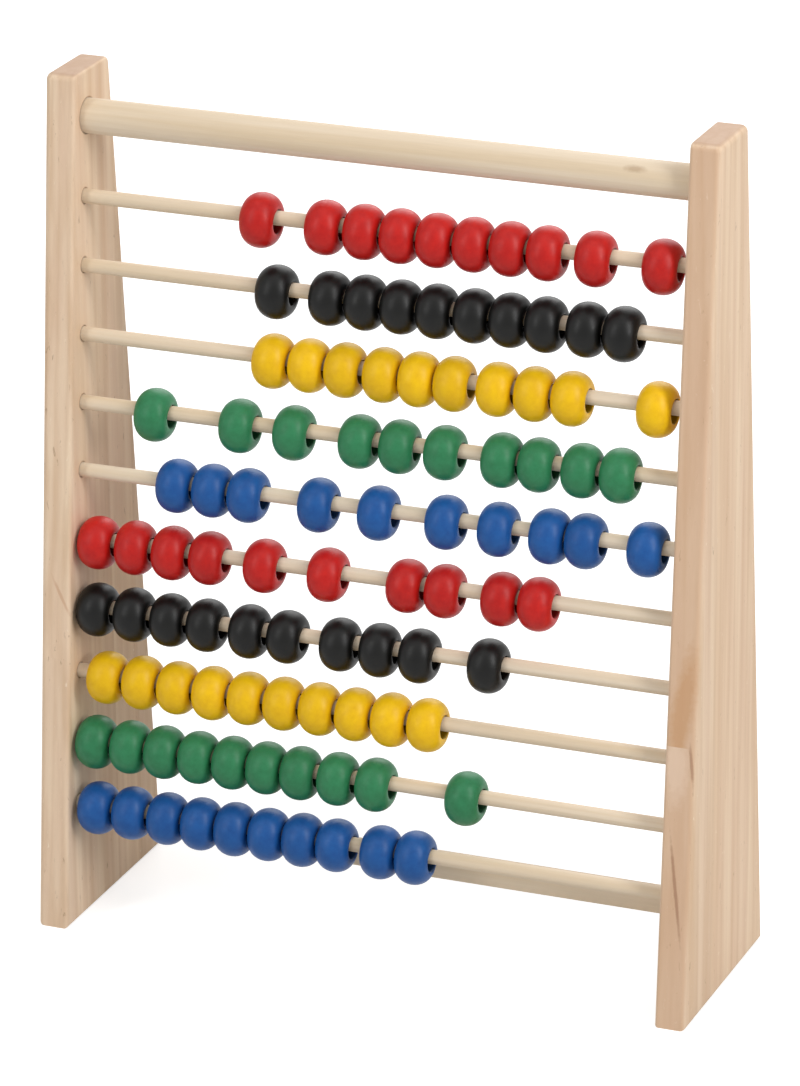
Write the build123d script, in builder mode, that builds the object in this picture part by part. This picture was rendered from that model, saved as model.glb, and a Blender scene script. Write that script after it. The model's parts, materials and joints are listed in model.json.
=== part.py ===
"""Counting frame (abacus): ten rods of ten sliding beads between two tapered end panels.

Frame: +Z up, +X to the right along the rods, +Y to the back. The origin is on the standing surface,
midway between the panels and midway along their feet. All sizes are in millimetres.
"""
import os
from build123d import *

os.makedirs("parts", exist_ok=True)

# Driving dimensions: end panels
frame_width = 238.0
panel_height = 300.0
panel_thickness = 11.0
panel_foot_depth = 80.0
panel_top_depth = 27.0
panel_top_corner_radius = 2.5
panel_foot_corner_radius = 3.0
panel_inner_edge_radius = 1.2
panel_outer_edge_radius = 2.2

# Top dowel
dowel_diameter = 12.0
dowel_below_top = 16.0
dowel_behind_rods = 1.5

# Bead rods
rod_diameter = 5.0
rod_behind_front_edge = 9.0
row_1_below_top = 43.0
row_10_above_feet = 43.25

# Blind joints in the panels
joint_depth = 7.0
joint_radial_clearance = 0.2
joint_end_clearance = 0.2
end_chamfer = 0.6

# Bottom rail
rail_height = 6.0
rail_depth = 11.0
rail_behind_centre = -4.5
rail_underside_height = 27.0
rail_edge_radius = 0.8

# Beads
bead_diameter = 18.8
bead_length = 12.2
bead_bore_diameter = 8.0
bead_end_ring = 0.8
bead_bore_lip = 0.5
bead_seat_gap = 0.2

# Rows from the top down. Beads that stand together make a group: the bare rod on its left, its
# number of beads and the bare rod between two of them. The last number of a row is the bare rod at
# its right-hand end. Bare lengths are shares: they stretch together to fill what the beads leave.
bead_rows = [
    ([(58.5, 1, 0), (11, 1, 0), (1.5, 6, 0.7), (4.5, 1, 0), (11, 1, 0)], 4),
    ([(64.5, 1, 0), (7, 4, 0.5), (1, 3, 0.4), (2, 2, 0.6)], 16.5),
    ([(64, 3, 0.8), (1.5, 3, 0.4), (3, 3, 0.9), (17.5, 1, 0)], 4),
    (
        [(21, 1, 0), (19, 1, 0), (7.5, 1, 0), (11.5, 2, 2.2), (4, 1, 0), (8, 2, 0.8), (3, 2, 1.1)],
        16,
    ),
    (
        [(29.5, 3, 0.9), (13.5, 1, 0), (9.5, 1, 0), (12, 1, 0), (6.5, 1, 0), (6, 2, 0.4), (9.5, 1, 0)],
        5.5,
    ),
    ([(0.5, 4, 1.6), (8, 1, 0), (11, 1, 0), (16.5, 2, 1.4), (8, 2, 0.9)], 43),
    ([(0.5, 4, 1.4), (3.5, 2, 1.8), (7, 3, 2.2), (12.5, 1, 0)], 60),
    ([(4.5, 4, 0.9), (1, 3, 0.9), (1, 3, 0.9)], 81),
    ([(0.5, 4, 0.6), (0.5, 3, 0.4), (1.5, 2, 1.7), (20.5, 1, 0)], 66.5),
    ([(1.5, 2, 0.7), (1, 6, 0.4), (4, 2, 0.4)], 84.5),
]

# Places that follow from the dimensions above
inner_face = frame_width / 2 - panel_thickness
front_lean = (panel_foot_depth - panel_top_depth) / 2 / panel_height
rod_radius = rod_diameter / 2
bead_drop = (bead_bore_diameter - rod_diameter) / 2 - bead_seat_gap
row_pitch = (panel_height - row_1_below_top - row_10_above_feet) / (len(bead_rows) - 1)
row_heights = [panel_height - row_1_below_top - row * row_pitch for row in range(len(bead_rows))]


def front_edge(height):
    """Y of the panels' leaning front edge at a height above the feet."""
    return front_lean * height - panel_foot_depth / 2


def rod_centre(height):
    """Y of a bead rod's centre line: the rods keep one distance from the leaning front edge."""
    return front_edge(height) + rod_behind_front_edge


dowel_height = panel_height - dowel_below_top
dowel_centre = rod_centre(dowel_height) + dowel_behind_rods
rail_middle_height = rail_underside_height + rail_height / 2

# Every round joint in a panel: centre (y, z) and the radius of the stick that it holds
round_joints = [(dowel_centre, dowel_height, dowel_diameter / 2)]
round_joints += [(rod_centre(height), height, rod_radius) for height in row_heights]

# End panels: a tapered board each, with blind holes for the dowel and rods and a housing for the rail
for side, name in ((-1, "left_panel"), (1, "right_panel")):
    with BuildPart() as panel:
        with BuildSketch(Plane.YZ.offset(side * (inner_face + panel_thickness / 2))):
            with BuildLine():
                Polyline(
                    (-panel_foot_depth / 2, 0),
                    (panel_foot_depth / 2, 0),
                    (panel_top_depth / 2, panel_height),
                    (-panel_top_depth / 2, panel_height),
                    close=True,
                )
            board = make_face()
            fillet(board.vertices().group_by(Axis.Y)[-1], panel_top_corner_radius)
            fillet(board.vertices().group_by(Axis.Y)[0], panel_foot_corner_radius)
        extrude(amount=panel_thickness / 2, both=True)
        outward = Axis((0, 0, 0), (side, 0, 0))
        fillet(panel.faces().sort_by(outward)[-1].edges(), panel_outer_edge_radius)
        fillet(panel.faces().sort_by(outward)[0].edges(), panel_inner_edge_radius)
        for y, z, radius in round_joints:
            with Locations(Plane(origin=(side * inner_face, y, z), z_dir=(-side, 0, 0))):
                Hole(radius + joint_radial_clearance, depth=joint_depth)
        with BuildSketch(Plane.YZ.offset(side * inner_face)):
            with Locations((rail_behind_centre, rail_middle_height)):
                Rectangle(
                    rail_depth + 2 * joint_radial_clearance,
                    rail_height + 2 * joint_radial_clearance,
                )
        extrude(amount=side * joint_depth, mode=Mode.SUBTRACT)
    panel.part.label = name
    export_step(panel.part, f"parts/{name}.step")

# Sticks that run from panel to panel end inside the blind joints
stick_length = 2 * (inner_face + joint_depth - joint_end_clearance)

with BuildPart() as top_dowel:
    with BuildSketch(Plane.YZ):
        with Locations((dowel_centre, dowel_height)):
            Circle(dowel_diameter / 2)
    extrude(amount=stick_length / 2, both=True)
    chamfer(top_dowel.edges().filter_by(GeomType.CIRCLE), end_chamfer)
top_dowel.part.label = "top_dowel"
export_step(top_dowel.part, "parts/top_dowel.step")

with BuildPart() as bottom_rail:
    with BuildSketch(Plane.YZ):
        with Locations((rail_behind_centre, rail_middle_height)):
            RectangleRounded(rail_depth, rail_height, rail_edge_radius)
    extrude(amount=stick_length / 2, both=True)
bottom_rail.part.label = "bottom_rail"
export_step(bottom_rail.part, "parts/bottom_rail.step")

for row, height in enumerate(row_heights, start=1):
    with BuildPart() as rod:
        with BuildSketch(Plane.YZ):
            with Locations((rod_centre(height), height)):
                Circle(rod_radius)
        extrude(amount=stick_length / 2, both=True)
        chamfer(rod.edges().filter_by(GeomType.CIRCLE), end_chamfer)
    rod.part.label = f"rod_{row}"
    export_step(rod.part, f"parts/rod_{row}.step")

# One bead, turned about the X axis: a round belly, two flat ends and a bore with rounded lips
end = bead_length / 2
bore_radius = bead_bore_diameter / 2
end_face_radius = bore_radius + bead_end_ring
with BuildPart() as bead:
    with BuildSketch(Plane.XY):
        with BuildLine():
            Line((-end + bead_bore_lip, bore_radius), (end - bead_bore_lip, bore_radius))
            RadiusArc(
                (end - bead_bore_lip, bore_radius), (end, bore_radius + bead_bore_lip), bead_bore_lip
            )
            Line((end, bore_radius + bead_bore_lip), (end, end_face_radius))
            ThreePointArc((end, end_face_radius), (0, bead_diameter / 2), (-end, end_face_radius))
            Line((-end, end_face_radius), (-end, bore_radius + bead_bore_lip))
            RadiusArc(
                (-end, bore_radius + bead_bore_lip), (-end + bead_bore_lip, bore_radius), bead_bore_lip
            )
        make_face()
    revolve(axis=Axis.X)

# Beads hang on their rods, so each bead's centre lies a little below the rod's centre line
for row, (height, (groups, right_end)) in enumerate(zip(row_heights, bead_rows), start=1):
    beads = sum(count for lead, count, between in groups)
    bare = sum(lead + (count - 1) * between for lead, count, between in groups) + right_end
    stretch = (2 * inner_face - beads * bead_length) / bare
    reached = -inner_face
    for letter, (lead, count, between) in zip("abcdefg", groups):
        name = f"row_{row}_beads_{letter}"
        first = reached + lead * stretch + bead_length / 2
        pitch = bead_length + between * stretch
        places = [
            (first + place * pitch, rod_centre(height), height - bead_drop) for place in range(count)
        ]
        with BuildPart() as group:
            with Locations(*places):
                add(bead.part)
        group.part.label = name
        export_step(group.part, f"parts/{name}.step")
        reached = places[-1][0] + bead_length / 2
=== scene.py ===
"""Looks of the wooden counting frame: pine boards and sticks, and a hundred painted beads."""
import json
import math
import random

import bpy
from mathutils import Matrix, Vector


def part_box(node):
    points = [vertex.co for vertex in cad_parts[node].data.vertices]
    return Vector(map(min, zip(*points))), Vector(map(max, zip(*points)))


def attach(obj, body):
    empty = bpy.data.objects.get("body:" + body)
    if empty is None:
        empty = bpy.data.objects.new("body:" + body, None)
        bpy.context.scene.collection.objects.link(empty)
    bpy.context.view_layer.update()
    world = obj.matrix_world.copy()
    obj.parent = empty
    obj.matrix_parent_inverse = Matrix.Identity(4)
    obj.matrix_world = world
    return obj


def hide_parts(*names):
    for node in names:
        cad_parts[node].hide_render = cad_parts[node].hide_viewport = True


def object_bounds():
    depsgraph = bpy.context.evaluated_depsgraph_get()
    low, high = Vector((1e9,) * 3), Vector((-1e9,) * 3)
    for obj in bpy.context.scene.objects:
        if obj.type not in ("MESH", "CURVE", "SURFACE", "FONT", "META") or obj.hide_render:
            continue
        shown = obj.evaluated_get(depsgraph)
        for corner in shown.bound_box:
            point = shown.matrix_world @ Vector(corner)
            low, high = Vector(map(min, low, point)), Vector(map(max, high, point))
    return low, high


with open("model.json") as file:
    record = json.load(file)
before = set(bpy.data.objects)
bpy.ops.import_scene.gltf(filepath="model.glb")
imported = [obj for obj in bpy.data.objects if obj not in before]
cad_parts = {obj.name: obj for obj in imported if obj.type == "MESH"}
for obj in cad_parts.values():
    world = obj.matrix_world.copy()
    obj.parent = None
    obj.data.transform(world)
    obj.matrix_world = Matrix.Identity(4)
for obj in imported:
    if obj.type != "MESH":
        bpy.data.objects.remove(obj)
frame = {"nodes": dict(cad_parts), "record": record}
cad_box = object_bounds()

MM = 0.001
lowest, highest = (Vector(corner) for corner in cad_box)
height = highest.z
bead_nodes = [name for name in frame["nodes"] if "_beads_" in name]
bead_rods = [name for name in frame["nodes"] if name.startswith("rod_")]
slots = {part["node"]: part["material_slot"] for part in frame["record"]["subparts"]}
bead_counts = frame["record"]["physics"]["collision_pieces"]

# How far in front of the middle a board's first glued strip ends, in millimetres
front_joint = 31.4


# ---------------------------------------------------------------------------------------------
# Colours and shader building
# ---------------------------------------------------------------------------------------------

def colour(red, green, blue):
    """A shader colour from the 0 to 255 values that it should show as."""
    shares = [value / 255 for value in (red, green, blue)]
    return tuple(s / 12.92 if s <= 0.04045 else ((s + 0.055) / 1.055) ** 2.4 for s in shares) + (1.0,)


class Finish:
    """A node material and the few kinds of node that the finishes here are made of."""

    def __init__(self, name):
        self.material = bpy.data.materials.new(name)
        self.material.use_nodes = True
        self.tree = self.material.node_tree
        self.shader = self.tree.nodes["Principled BSDF"]

    def add(self, kind, **inputs):
        """A new node; each input is a value or another node's output, and _ stands for a blank."""
        made = self.tree.nodes.new("ShaderNode" + kind)
        for name, value in inputs.items():
            self.feed(made.inputs[name.replace("_", " ")], value)
        return made

    def feed(self, socket, value):
        """Joins another node's output to a socket, or sets the socket to a plain value."""
        if isinstance(value, bpy.types.NodeSocket):
            self.tree.links.new(value, socket)
        else:
            socket.default_value = value

    def math(self, operation, first, second=0.0, third=0.0, clamp=False):
        made = self.tree.nodes.new("ShaderNodeMath")
        made.operation = operation
        made.use_clamp = clamp
        for socket, value in zip(made.inputs, (first, second, third)):
            self.feed(socket, value)
        return made.outputs[0]

    def vector(self, operation, first, second):
        made = self.tree.nodes.new("ShaderNodeVectorMath")
        made.operation = operation
        self.feed(made.inputs[0], first)
        self.feed(made.inputs[1], second)
        return made.outputs["Value" if operation in ("LENGTH", "DISTANCE") else "Vector"]

    def mix(self, share, first, second, blend="MIX"):
        """Two colours mixed by a share."""
        made = self.tree.nodes.new("ShaderNodeMix")
        made.data_type = "RGBA"
        made.blend_type = blend
        self.feed(made.inputs[0], share)
        self.feed(made.inputs[6], first)
        self.feed(made.inputs[7], second)
        return made.outputs[2]

    def noise(self, place, scale, detail=2.0, roughness=0.5, distortion=0.0):
        made = self.add("TexNoise", Vector=place, Scale=scale, Detail=detail, Roughness=roughness,
                        Distortion=distortion)
        return made.outputs["Fac"]

    def steps(self, value, *stops):
        """A grey ramp: stops are (place, brightness) pairs."""
        made = self.tree.nodes.new("ShaderNodeValToRGB")
        self.feed(made.inputs[0], value)
        ramp = made.color_ramp
        while len(ramp.elements) < len(stops):
            ramp.elements.new(0.5)
        for element, (place, grey) in zip(ramp.elements, stops):
            element.position = place
            element.color = (grey, grey, grey, 1.0)
        return made.outputs[0]

    def place(self, stretch):
        """Object coordinates in millimetres, each axis multiplied by stretch."""
        coordinates = self.tree.nodes.new("ShaderNodeTexCoord").outputs["Object"]
        return self.vector("MULTIPLY", coordinates, tuple(share / MM for share in stretch))

    def attribute(self, name):
        """A number that the mesh carries for this finish."""
        made = self.add("Attribute")
        made.attribute_name = name
        return made.outputs["Fac"]

    def darken(self, level):
        """Multiplies the shade by a grey level."""
        grey = self.add("CombineXYZ", X=level, Y=level, Z=level).outputs[0]
        self.shade = self.mix(1.0, self.shade, grey, "MULTIPLY")

    def tint(self, share, tone):
        """Draws the shade towards a tone by a share."""
        self.shade = self.mix(share, self.shade, colour(*tone))

    def done(self):
        """Puts the finished shade on the shader and returns the material."""
        self.feed(self.shader.inputs["Base Color"], self.shade)
        return self.material

    def bump(self, grain, strength, distance):
        """Raises the surface where grain is bright."""
        made = self.add("Bump", Height=grain, Strength=strength, Distance=distance)
        self.feed(self.shader.inputs["Normal"], made.outputs[0])


# ---------------------------------------------------------------------------------------------
# Pine
# ---------------------------------------------------------------------------------------------

class Pine(Finish):
    """Sawn and sanded softwood. Growth rings are long cylinders round a pith far outside the piece.

    along is the axis of the grain, 0 for X and 2 for Z. A board is glued from strips side by side,
    and each strip has its own tone and its own place in the tree.
    """

    def __init__(self, name, along, pale, warm, late, ring_width, strip_width):
        super().__init__(name)
        self.spot = self.place((1, 1, 1))
        split = self.add("SeparateXYZ", Vector=self.spot)
        run = split.outputs[along]
        across = split.outputs[1]
        through = split.outputs[2 - along]

        strip = self.math("FLOOR", self.math("DIVIDE", self.math("ADD", across, front_joint), strip_width))
        draw = self.tree.nodes.new("ShaderNodeTexWhiteNoise")
        draw.noise_dimensions = "2D"
        side = self.math("SIGN", through)
        self.feed(draw.inputs["Vector"], self.add("CombineXYZ", X=strip, Y=side).outputs[0])
        pith = self.add("SeparateXYZ", Vector=draw.outputs["Color"])

        # Stretched along the grain: slow for drifts in tone and ring, fine for fibres and stripes
        slow = self.add("CombineXYZ", X=self.math("MULTIPLY", run, 0.05), Y=across, Z=through).outputs[0]
        fine = self.add("CombineXYZ", X=self.math("MULTIPLY", run, 0.03), Y=across, Z=through).outputs[0]
        wander = self.noise(slow, 0.05, 3.0)
        cloud = self.noise(slow, 0.13, 2.0)
        fibre = self.noise(fine, 2.2, 5.0, 0.65)
        stripe = self.noise(fine, 0.24, 2.0, 0.4)

        # The pith is within 30 mm of the origin sideways or up, and 22 to 72 mm in front of it
        ring_x = self.math("ADD", through, self.math("MULTIPLY_ADD", pith.outputs[0], 60.0, -30.0))
        ring_y = self.math("ADD", across, self.math("MULTIPLY_ADD", pith.outputs[1], 50.0, 22.0))
        radius = self.math("SQRT", self.math("ADD", self.math("MULTIPLY", ring_x, ring_x),
                                             self.math("MULTIPLY", ring_y, ring_y)))
        lean = self.math("MULTIPLY", run, self.math("MULTIPLY_ADD", pith.outputs[2], 0.016, -0.008))
        radius = self.math("ADD", self.math("ADD", radius, lean), self.math("MULTIPLY", wander, 11.0))
        ring = self.math("FRACT", self.math("DIVIDE", radius, ring_width))
        late_wood = self.steps(ring, (0.0, 0.35), (0.16, 0.0), (0.55, 0.2), (0.86, 1.0), (1.0, 0.35))

        shade = self.mix(self.steps(cloud, (0.3, 0.0), (0.7, 1.0)), colour(*pale), colour(*warm))
        self.shade = self.mix(self.steps(stripe, (0.42, 0.0), (0.66, 0.55)), shade, colour(*late))
        self.darken(self.math("MULTIPLY_ADD", draw.outputs["Value"], 0.09, 0.955))
        presence = self.math("MULTIPLY_ADD", wander, 1.3, -0.38, clamp=True)
        self.tint(self.math("MULTIPLY", late_wood, presence), late)
        self.darken(self.math("MULTIPLY_ADD", fibre, 0.14, 0.93))
        self.feed(self.shader.inputs["Roughness"], self.math("MULTIPLY_ADD", fibre, 0.2, 0.55))
        self.shader.inputs["Specular IOR Level"].default_value = 0.25
        self.bump(self.math("MULTIPLY_ADD", late_wood, 0.25, fibre), 0.3, 0.1 * MM)
        self.run = run
        self.across = across
        self.through = through

    def flecks(self, tone, size, rarity, strength):
        """Short dashes along the grain: pores, pits and rays."""
        dash = self.add("CombineXYZ", X=self.math("MULTIPLY", self.run, 0.28), Y=self.across, Z=self.through)
        speckle = self.noise(dash.outputs[0], size, 3.0, 0.65, 0.6)
        mask = self.steps(speckle, (rarity, 0.0), (rarity + 0.08, 1.0))
        self.tint(self.math("MULTIPLY", mask, strength), tone)

    def mark(self, centre, radii, tone, strength, slant=0.0, above=None, below=None):
        """One long soft mark in the wood: a knot, a dark streak, or a patch that ends at a glue line.

        slant is how far X moves for each step up Z, and above and below cut the mark off at a height.
        """
        away = self.vector("SUBTRACT", self.spot, centre)
        split = self.add("SeparateXYZ", Vector=away)
        shift = self.math("MULTIPLY_ADD", split.outputs[2], -slant, split.outputs[0])
        away = self.add("CombineXYZ", X=shift, Y=split.outputs[1], Z=split.outputs[2]).outputs[0]
        away = self.vector("DIVIDE", away, radii)
        ragged = self.math("MULTIPLY_ADD", self.noise(self.spot, 0.5, 3.0), 0.5, -0.25)
        distance = self.math("ADD", self.vector("LENGTH", away, (0, 0, 0)), ragged)
        mask = self.steps(distance, (0.45, 1.0), (1.0, 0.0))
        level = self.add("SeparateXYZ", Vector=self.spot).outputs[2]
        if above is not None:
            mask = self.math("MULTIPLY", mask, self.math("GREATER_THAN", level, above))
        if below is not None:
            mask = self.math("MULTIPLY", mask, self.math("LESS_THAN", level, below))
        self.tint(self.math("MULTIPLY", mask, strength), tone)

    def end_grain_and_side_shade(self, outward, tone, strength):
        """Tints the faces that look one way: end grain soaks up more, and a side that gets less light is
        darkened as painted shade.
        """
        facing = self.tree.nodes.new("ShaderNodeTexCoord").outputs["Normal"]
        split = self.add("SeparateXYZ", Vector=self.vector("MULTIPLY", facing, outward))
        toward = self.math("ADD", self.math("ADD", split.outputs[0], split.outputs[1]), split.outputs[2])
        self.tint(self.math("MULTIPLY", self.steps(toward, (0.7, 0.0), (0.95, 1.0)), strength), tone)

    def stick_hole_shade(self, sticks, tone, strength):
        """A dark rim of painted shade round the blind hole of each stick that runs along X, where the stick
        meets the board.
        """
        flat = self.add("CombineXYZ", Y=self.across, Z=self.run).outputs[0]
        nearest = 100.0
        for stick in sticks:
            low, high = (Vector(corner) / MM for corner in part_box(stick))
            reach = high.x
            middle = (0.0, (low.y + high.y) / 2, (low.z + high.z) / 2)
            off = self.math("SUBTRACT", self.vector("DISTANCE", flat, middle), (high.z - low.z) / 2)
            nearest = self.math("MINIMUM", nearest, off)
        rim = self.math("MULTIPLY", self.steps(nearest, (0.25, 1.0), (0.75, 0.0)), strength)
        blind = self.math("LESS_THAN", self.math("ABSOLUTE", self.through), reach)
        self.tint(self.math("MULTIPLY", rim, blind), tone)


# ---------------------------------------------------------------------------------------------
# Bead paint
# ---------------------------------------------------------------------------------------------

def bead_paint(name, body, worn):
    """Satin paint on turned wood. tone differs from bead to bead, bore is 1 inside the hole, where the paint
    is darkened as painted shade.
    """
    paint = Finish(name)
    spot = paint.place((1, 1, 1))
    tone = paint.attribute("tone")
    coat = paint.noise(spot, 0.35, 3.0, 0.6)
    turning = paint.add("CombineXYZ", X=paint.attribute("turned"), Y=tone).outputs[0]
    lines = paint.noise(turning, 3.2, 4.0, 0.7)
    paint.shade = paint.mix(paint.steps(coat, (0.35, 0.0), (0.75, 1.0)), colour(*body), colour(*worn))
    paint.darken(paint.math("MULTIPLY_ADD", tone, 0.12, 0.94))
    # Painted shade inside each bead's hole: the paint is drawn towards half its own colour
    paint.tint(paint.math("MULTIPLY", paint.attribute("bore"), 0.75), (value * 0.5 for value in body))
    paint.feed(paint.shader.inputs["Roughness"], paint.math("MULTIPLY_ADD", coat, 0.14, 0.33))
    paint.shader.inputs["Specular IOR Level"].default_value = 0.25
    paint.bump(paint.math("MULTIPLY_ADD", lines, 0.5, paint.noise(spot, 1.3, 2.0)), 0.25, 0.08 * MM)
    return paint.done()


# ---------------------------------------------------------------------------------------------
# Beads
# ---------------------------------------------------------------------------------------------

bead_low, bead_high = (Vector(corner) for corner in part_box("row_1_beads_a"))
bead_length = bead_high.x - bead_low.x
bead_diameter = bead_high.z - bead_low.z
bore_diameter = 8.0 * MM
lip_radius = 0.6 * MM
# What each end gives up so that two beads that lean towards each other don't meet
tilt_room = 0.1 * MM
smallest_bead = 0.975
most_tilt = 1.3
most_nod = 0.8


def turn_bead():
    """One bead about the X axis: a plump ring whose hole is bored out and rounded at both lips."""
    half = bead_length / 2 - tilt_room
    bore = bore_diameter / 2
    end_radius = bore + lip_radius
    plumpness = bead_diameter / 2 - end_radius
    bpy.ops.object.select_all(action="DESELECT")
    bpy.ops.mesh.primitive_torus_add(major_radius=end_radius, minor_radius=plumpness, major_segments=48,
                                     minor_segments=32)
    bead = bpy.context.active_object
    # Stretched along its axis, then everything nearer the axis than the two end circles is cut away
    bead.scale = (1, 1, half / plumpness)
    bpy.ops.object.transform_apply(location=False, rotation=False, scale=True)
    bpy.ops.object.mode_set(mode="EDIT")
    bpy.ops.mesh.select_all(action="DESELECT")
    bpy.ops.mesh.select_mode(type="VERT")
    bpy.ops.object.mode_set(mode="OBJECT")
    for vertex in bead.data.vertices:
        vertex.select = math.hypot(vertex.co.x, vertex.co.y) < end_radius - 0.01 * MM
    bpy.ops.object.mode_set(mode="EDIT")
    bpy.ops.mesh.delete(type="VERT")
    bpy.ops.mesh.select_all(action="DESELECT")
    bpy.ops.mesh.select_non_manifold()
    # The two cut rims are rounded into the bore and joined through the hole
    rim = end_radius
    ends = half
    for angle in (math.pi / 6, math.pi / 3, math.pi / 2):
        radius = bore + lip_radius * (1 - math.sin(angle))
        reach = half - lip_radius * (1 - math.cos(angle))
        bpy.ops.mesh.extrude_edges_move()
        bpy.ops.transform.resize(value=(radius / rim, radius / rim, reach / ends), center_override=(0, 0, 0))
        rim = radius
        ends = reach
    bpy.ops.mesh.bridge_edge_loops(number_cuts=4)
    bpy.ops.mesh.select_all(action="SELECT")
    bpy.ops.mesh.normals_make_consistent(inside=False)
    bpy.ops.object.mode_set(mode="OBJECT")
    bead.rotation_euler = (0, math.pi / 2, 0)
    bpy.ops.object.transform_apply(location=True, rotation=True, scale=True)
    bpy.ops.object.shade_smooth()
    turned = bead.data.attributes.new("turned", "FLOAT", "POINT")
    # bore marks the inside of the hole, which the paint darkens as painted shade
    hole = bead.data.attributes.new("bore", "FLOAT", "POINT")
    bead.data.attributes.new("tone", "FLOAT", "POINT")
    for index, vertex in enumerate(bead.data.vertices):
        turned.data[index].value = vertex.co.x / MM
        inside = math.hypot(vertex.co.y, vertex.co.z) < bore + lip_radius / 2
        hole.data[index].value = 1.0 if inside else 0.0
    return bead


def string_beads(pattern, node, paint, draw):
    """The beads of one CAD group as one piece that slides with it."""
    low, high = (Vector(corner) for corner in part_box(node))
    centre = (low + high) / 2
    count = bead_counts[node]
    pitch = (high.x - low.x - bead_length) / max(count - 1, 1)
    made = []
    for place in range(count):
        bead = pattern.copy()
        bead.data = pattern.data.copy()
        bpy.context.collection.objects.link(bead)
        size = draw.uniform(smallest_bead, 1.0)
        spin = Matrix.Rotation(draw.uniform(0, 2 * math.pi), 4, "X")
        tilt = Matrix.Rotation(math.radians(draw.uniform(-most_tilt, most_tilt)), 4, "Z")
        nod = Matrix.Rotation(math.radians(draw.uniform(-most_nod, most_nod)), 4, "Y")
        spot = Vector((low.x + bead_length / 2 + place * pitch, centre.y, centre.z))
        turn = tilt @ nod @ spin
        bead.data.transform(Matrix.Translation(spot) @ turn @ Matrix.Diagonal((1, size, size, 1)))
        tone = draw.random()
        for value in bead.data.attributes["tone"].data:
            value.value = tone
        made.append(bead)
    bpy.ops.object.select_all(action="DESELECT")
    for bead in made:
        bead.select_set(True)
    bpy.context.view_layer.objects.active = made[0]
    if count > 1:
        bpy.ops.object.join()
    beads = bpy.context.active_object
    beads.name = node + "_painted"
    beads.data.name = beads.name
    beads.data.materials.clear()
    beads.data.materials.append(paint)
    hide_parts(node)
    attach(beads, node)


# ---------------------------------------------------------------------------------------------
# Studio
# ---------------------------------------------------------------------------------------------

def direction(azimuth, elevation):
    """The way from the object towards a place; azimuth 0 is straight in front and 90 is its right."""
    azimuth = math.radians(azimuth)
    elevation = math.radians(elevation)
    return Vector((math.sin(azimuth) * math.cos(elevation), -math.cos(azimuth) * math.cos(elevation),
                   math.sin(elevation)))


def aimed(place, back, roll=0.0):
    """The matrix of a camera or lamp that stands at a place and looks against back."""
    turn = back.to_track_quat("Z", "Y").to_matrix().to_4x4() @ Matrix.Rotation(roll, 4, "Z")
    return Matrix.Translation(place) @ turn


def place_camera():
    """A long lens to the right of the frame and a little above it."""
    roll = math.radians(-0.5)
    distance = 1.866
    target = Vector((0.018, lowest.y, 0.1607))
    back = direction(22.2, 21.0)
    data = bpy.data.cameras.new("camera")
    data.lens = 188.05
    data.sensor_width = 36.0
    data.clip_start = 0.1
    data.clip_end = 20.0
    camera = bpy.data.objects.new("camera", data)
    bpy.context.collection.objects.link(camera)
    camera.matrix_world = aimed(target + back * distance, back, roll)
    bpy.context.scene.camera = camera


def hang_lamp(name, azimuth, elevation, distance, width, tall, power):
    """A softbox that faces the middle of the object."""
    back = direction(azimuth, elevation)
    data = bpy.data.lights.new(name, "AREA")
    data.shape = "RECTANGLE"
    data.size = width
    data.size_y = tall
    data.energy = power
    lamp = bpy.data.objects.new(name, data)
    bpy.context.collection.objects.link(lamp)
    middle = Vector((0, 0, height / 2))
    lamp.matrix_world = aimed(middle + back * distance, back)


def plain_background(tree):
    """1 for the rays that should see a plain background: those of the eye, of gloss and of glass."""
    path = tree.nodes.new("ShaderNodeLightPath")
    seen = path.outputs["Is Camera Ray"]
    for kind in ("Is Glossy Ray", "Is Transmission Ray"):
        either = tree.nodes.new("ShaderNodeMath")
        either.operation = "MAXIMUM"
        tree.links.new(seen, either.inputs[0])
        tree.links.new(path.outputs[kind], either.inputs[1])
        seen = either.outputs[0]
    return seen


def build_studio():
    """Four softboxes and a white room: its light on the object is room_light of what the eye sees."""
    room_light = 0.5
    hang_lamp("right_softbox", 66, 34, 1.5, 0.3, 1.2, 12)
    hang_lamp("left_softbox", -30, 30, 1.5, 0.25, 1.2, 5)
    hang_lamp("back_softbox", 190, 35, 1.5, 1.0, 1.1, 9)
    hang_lamp("top_softbox", 0, 80, 1.4, 1.2, 1.0, 2.5)
    world = bpy.data.worlds.new("studio")
    bpy.context.scene.world = world
    world.use_nodes = True
    tree = world.node_tree
    back = tree.nodes["Background"]
    seen = plain_background(tree)
    strength = tree.nodes.new("ShaderNodeMapRange")
    tree.links.new(seen, strength.inputs["Value"])
    strength.inputs["To Min"].default_value = room_light
    strength.inputs["To Max"].default_value = 1.0
    back.inputs["Color"].default_value = (1, 1, 1, 1)
    tree.links.new(strength.outputs[0], back.inputs["Strength"])


def lay_floor():
    """A pale matt floor that shows nearly white and still takes the object's shadow."""
    pale = (0.62, 0.62, 0.62, 1)
    bpy.ops.object.select_all(action="DESELECT")
    bpy.ops.mesh.primitive_plane_add(size=12.0, location=(0, 0, lowest.z))
    floor = bpy.context.active_object
    floor.name = "floor"
    material = bpy.data.materials.new("pale floor")
    material.use_nodes = True
    tree = material.node_tree
    tree.nodes.clear()
    matt = tree.nodes.new("ShaderNodeBsdfDiffuse")
    matt.inputs["Color"].default_value = pale
    glow = tree.nodes.new("ShaderNodeEmission")
    tree.links.new(plain_background(tree), glow.inputs["Strength"])
    glow.inputs["Color"].default_value = pale
    both = tree.nodes.new("ShaderNodeAddShader")
    tree.links.new(matt.outputs[0], both.inputs[0])
    tree.links.new(glow.outputs[0], both.inputs[1])
    out = tree.nodes.new("ShaderNodeOutputMaterial")
    tree.links.new(both.outputs[0], out.inputs["Surface"])
    floor.data.materials.append(material)


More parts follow.
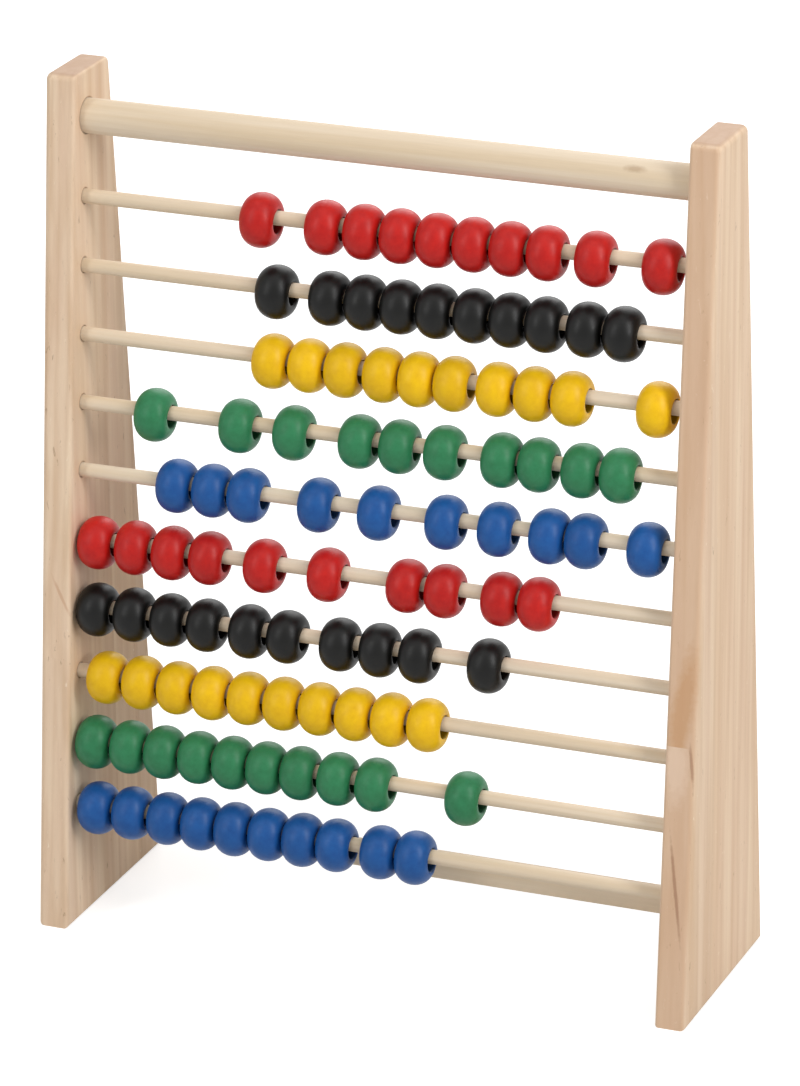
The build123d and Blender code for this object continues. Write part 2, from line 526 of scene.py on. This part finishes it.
def finish_node(node, material):
    """Gives a CAD node its material."""
    obj = frame["nodes"][node]
    obj.data.materials.clear()
    obj.data.materials.append(material)


# ---------------------------------------------------------------------------------------------
# Making
# ---------------------------------------------------------------------------------------------

place_camera()
build_studio()
lay_floor()

boards = {}
for node in ("left_panel", "right_panel"):
    board = Pine(node + " pine", 2, (231, 207, 179), (219, 190, 163), (204, 171, 138), 4.1, 18.0)
    board.flecks((142, 108, 80), 0.62, 0.66, 0.5)
    board.flecks((246, 232, 212), 0.9, 0.66, 0.45)
    board.end_grain_and_side_shade((0, 0, 1), (180, 148, 126), 0.7)
    # Painted shade in a rim round each stick where it goes into the board
    board.stick_hole_shade(bead_rods + ["top_dowel"], (134, 102, 74), 0.6)
    boards[node] = board
boards["left_panel"].mark((-111.5, -29.5, 120.0), (0.9, 6.0, 8.0), (192, 146, 114), 0.5, slant=-0.5)
# The right board's front edge has a slanting brown streak, and two pieces that meet at a glue line
glue_line = 98.5
right = boards["right_panel"]
# Painted shade: the right board's front faces are darkened as if less light fell on them
right.end_grain_and_side_shade((0, -1, 0), (204, 164, 132), 0.5)
right.mark((113.3, -36.5, 50.0), (0.8, 6.0, 23.0), (158, 116, 90), 0.7, slant=-0.13)
right.mark((113.6, -31.0, 112.0), (4.6, 8.0, 28.0), (196, 150, 108), 0.7, slant=0.12, above=glue_line)
right.mark((112.0, -31.5, 92.0), (5.2, 8.0, 17.0), (236, 212, 190), 0.45, below=glue_line)
right.mark((117.3, -32.0, 93.0), (0.7, 6.0, 9.0), (150, 108, 82), 0.6, slant=-0.1)
for node, board in boards.items():
    finish_node(node, board.done())
stick = Pine("stick pine", 0, (230, 214, 192), (224, 205, 179), (210, 187, 154), 2.3, 40.0)
stick.mark((88.0, -10.0, 288.0), (5.0, 3.0, 1.4), (170, 142, 112), 0.6)
stick = stick.done()
for node in bead_rods + ["top_dowel", "bottom_rail"]:
    finish_node(node, stick)

paints = {
    "bead_red": bead_paint("red paint", (188, 28, 22), (172, 20, 18)),
    "bead_black": bead_paint("black paint", (9, 9, 7), (5, 5, 5)),
    "bead_yellow": bead_paint("yellow paint", (233, 186, 12), (222, 172, 10)),
    "bead_green": bead_paint("green paint", (46, 122, 80), (40, 110, 70)),
    "bead_blue": bead_paint("blue paint", (26, 84, 150), (22, 74, 138)),
}
pattern = turn_bead()
draw = random.Random(7)
for node in bead_nodes:
    string_beads(pattern, node, paints[slots[node]], draw)
bpy.data.objects.remove(pattern, do_unlink=True)

bpy.context.scene.view_settings.view_transform = "Standard"
